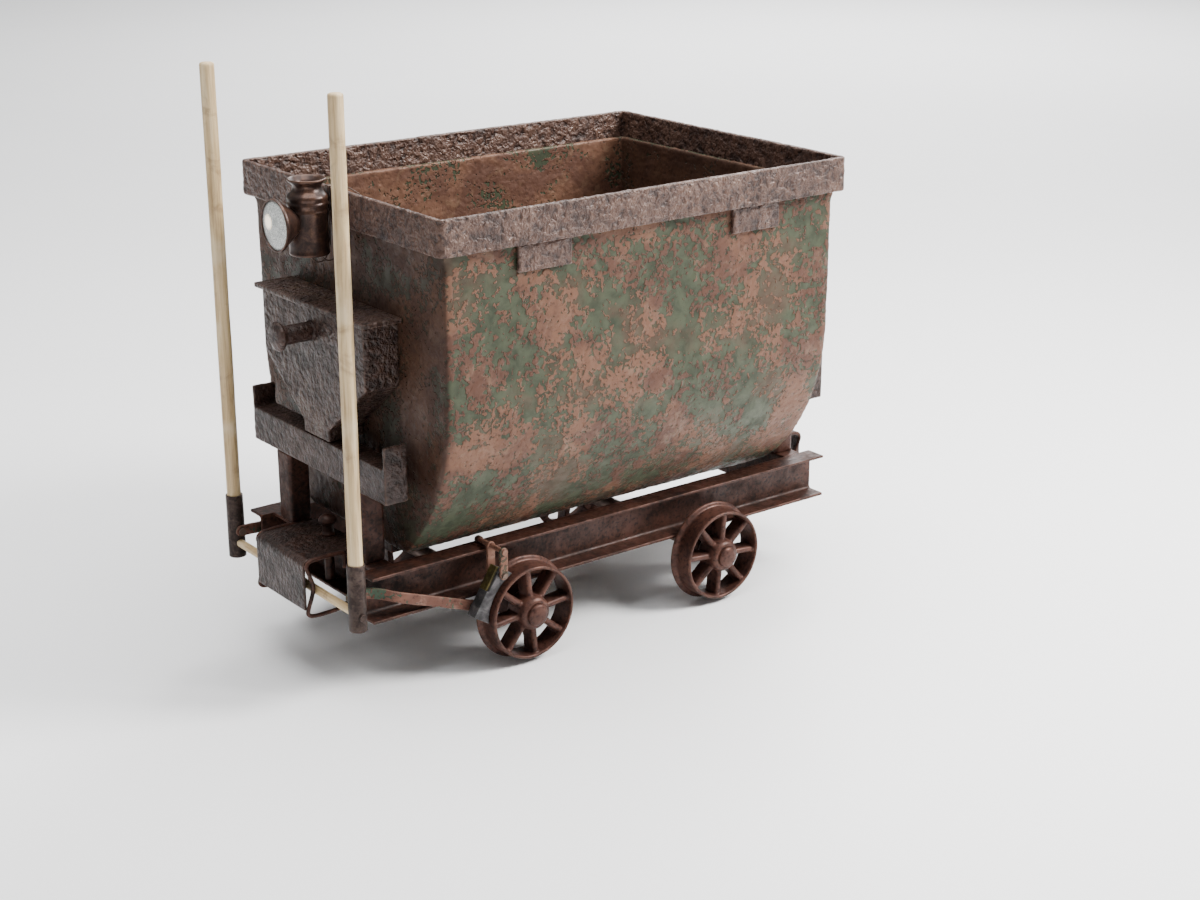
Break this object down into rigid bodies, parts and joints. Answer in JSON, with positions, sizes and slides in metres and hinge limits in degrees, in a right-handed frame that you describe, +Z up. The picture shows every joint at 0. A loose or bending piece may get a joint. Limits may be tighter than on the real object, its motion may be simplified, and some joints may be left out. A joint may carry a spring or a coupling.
{
  "type": "mine cart",
  "caption": "Narrow-gauge tipping mine cart: U-shaped steel tub on a spoked-wheel underframe with a two-pole brake handle, end couplers and a rim lamp.",
  "frame": {"origin": "on the ground under the middle of the wheelbase, level with the lowest point of the wheel flanges", "axes": "+X along the track towards the rear, away from the handle; +Y across the track; +Z up"},
  "size_m": [1.552, 0.875, 1.386],
  "materials": {
    "tub_paint": "worn grey-green paint flaking off red-brown rust",
    "tub_end_rust": "dark pitted rust, satin",
    "rim_rust": "pebbled brown-pink rust with pale worn edges",
    "frame_rust": "dark red-brown rust with worn lighter edges",
    "fastener_steel": "dull dark steel with rust",
    "wheel_iron": "smooth red-brown cast iron, satin",
    "pole_wood": "pale tan ash with handling marks, matt",
    "socket_steel": "dark grey-brown steel",
    "brake_rust": "brown rust with green flecks",
    "shoe_iron": "dark grey worn iron",
    "packing_brass": "dull olive brass",
    "lamp_metal": "dark brown satin metal with rubbed highlights",
    "lamp_glass": "frosted clear glass"
  },
  "bodies": {
    "chassis": {"channel_left": "frame_rust", "channel_right": "frame_rust", "end_cross_members": "frame_rust", "beam_front": "frame_rust", "beam_rear": "frame_rust", "posts": "frame_rust", "coupler_plate_front": "frame_rust", "coupler_plate_rear": "frame_rust", "stirrups": "frame_rust", "axle_boxes": "frame_rust", "brake_brackets": "frame_rust", "axle_box_bolts": "fastener_steel", "axle_front": "fastener_steel", "axle_rear": "fastener_steel", "axle_collars": "fastener_steel", "brake_shafts": "fastener_steel"},
    "wheel_front_left": {"wheel_front_left": "wheel_iron", "hub_cap_front_left": "wheel_iron"},
    "wheel_front_right": {"wheel_front_right": "wheel_iron", "hub_cap_front_right": "wheel_iron"},
    "wheel_rear_left": {"wheel_rear_left": "wheel_iron", "hub_cap_rear_left": "wheel_iron"},
    "wheel_rear_right": {"wheel_rear_right": "wheel_iron", "hub_cap_rear_right": "wheel_iron"},
    "brake_lever": {"pole_left": "pole_wood", "pole_right": "pole_wood", "socket_left": "socket_steel", "socket_right": "socket_steel", "crossbar": "pole_wood", "crossbar_bolts": "fastener_steel", "bar_pins": "fastener_steel"},
    "brake_bar_left": {"brake_bar_left": "brake_rust"},
    "brake_bar_right": {"brake_bar_right": "brake_rust"},
    "hanger_left": {"brake_links_left": "brake_rust", "brake_shoe_left": "shoe_iron", "shoe_packing_left": "packing_brass", "shoe_pins_left": "fastener_steel"},
    "hanger_right": {"brake_links_right": "brake_rust", "brake_shoe_right": "shoe_iron", "shoe_packing_right": "packing_brass", "shoe_pins_right": "fastener_steel"},
    "coupling_pin_front": {"coupling_pin_front": "frame_rust"},
    "coupling_pin_rear": {"coupling_pin_rear": "frame_rust"},
    "tub": {"tub_sheet": "tub_paint", "tub_end_front": "tub_end_rust", "tub_end_rear": "tub_end_rust", "rim_band": "rim_rust", "side_tabs": "rim_rust", "end_box_front": "tub_end_rust", "end_box_rear": "tub_end_rust", "end_shelf_front": "tub_end_rust", "end_shelf_rear": "tub_end_rust", "end_knob_front": "tub_end_rust", "end_knob_rear": "tub_end_rust"},
    "lamp": {"lamp_body": "lamp_metal", "lamp_reflector": "lamp_metal", "lamp_lens": "lamp_glass", "lamp_burner": "packing_brass", "lamp_hook": "lamp_metal"}
  },
  "joints": [
    {"name": "wheel_front_left_spin", "type": "hinge", "parent": "chassis", "child": "wheel_front_left", "pos_m": [-0.296, -0.32, 0.128], "axis": [0, 1, 0], "continuous": true},
    {"name": "wheel_front_right_spin", "type": "hinge", "parent": "chassis", "child": "wheel_front_right", "pos_m": [-0.296, 0.32, 0.128], "axis": [0, 1, 0], "continuous": true},
    {"name": "wheel_rear_left_spin", "type": "hinge", "parent": "chassis", "child": "wheel_rear_left", "pos_m": [0.296, -0.32, 0.128], "axis": [0, 1, 0], "continuous": true},
    {"name": "wheel_rear_right_spin", "type": "hinge", "parent": "chassis", "child": "wheel_rear_right", "pos_m": [0.296, 0.32, 0.128], "axis": [0, 1, 0], "continuous": true},
    {"name": "brake_lever_push", "type": "hinge", "parent": "chassis", "child": "brake_lever", "pos_m": [-0.738, 0, 0.22], "axis": [0, 1, 0], "range_deg": [-8, 4.5]},
    {"name": "brake_bar_left_turn", "type": "hinge", "parent": "brake_lever", "child": "brake_bar_left", "pos_m": [-0.738, -0.2595, 0.254], "axis": [0, 1, 0], "range_deg": [-4.6, 8]},
    {"name": "brake_bar_right_turn", "type": "hinge", "parent": "brake_lever", "child": "brake_bar_right", "pos_m": [-0.738, 0.2595, 0.254], "axis": [0, 1, 0], "range_deg": [-4.6, 8]},
    {"name": "hanger_left_swing", "type": "hinge", "parent": "chassis", "child": "hanger_left", "pos_m": [-0.38005, -0.317, 0.303], "axis": [0, 1, 0], "range_deg": [-1.1, 2]},
    {"name": "hanger_right_swing", "type": "hinge", "parent": "chassis", "child": "hanger_right", "pos_m": [-0.38005, 0.317, 0.303], "axis": [0, 1, 0], "range_deg": [-1.1, 2]},
    {"name": "coupling_pin_front_lift", "type": "slide", "parent": "chassis", "child": "coupling_pin_front", "axis": [0, 0, 1], "range_m": [0, 0.1]},
    {"name": "coupling_pin_rear_lift", "type": "slide", "parent": "chassis", "child": "coupling_pin_rear", "axis": [0, 0, 1], "range_m": [0, 0.1]},
    {"name": "tub_tip", "type": "hinge", "parent": "chassis", "child": "tub", "pos_m": [0, -0.057, 0.549], "axis": [1, 0, 0], "range_deg": [0, 20]},
    {"name": "lamp_swing", "type": "hinge", "parent": "tub", "child": "lamp", "pos_m": [-0.5775, 0.019, 1.1249], "axis": [0, 1, 0], "range_deg": [0, 15]}
  ],
  "couplings": [
    {"joint": "brake_bar_left_turn", "follows": "brake_lever_push", "ratio": -0.9594},
    {"joint": "brake_bar_right_turn", "follows": "brake_lever_push", "ratio": -0.9594},
    {"joint": "hanger_left_swing", "follows": "brake_lever_push", "ratio": -0.2206},
    {"joint": "hanger_right_swing", "follows": "brake_lever_push", "ratio": -0.2206}
  ]
}
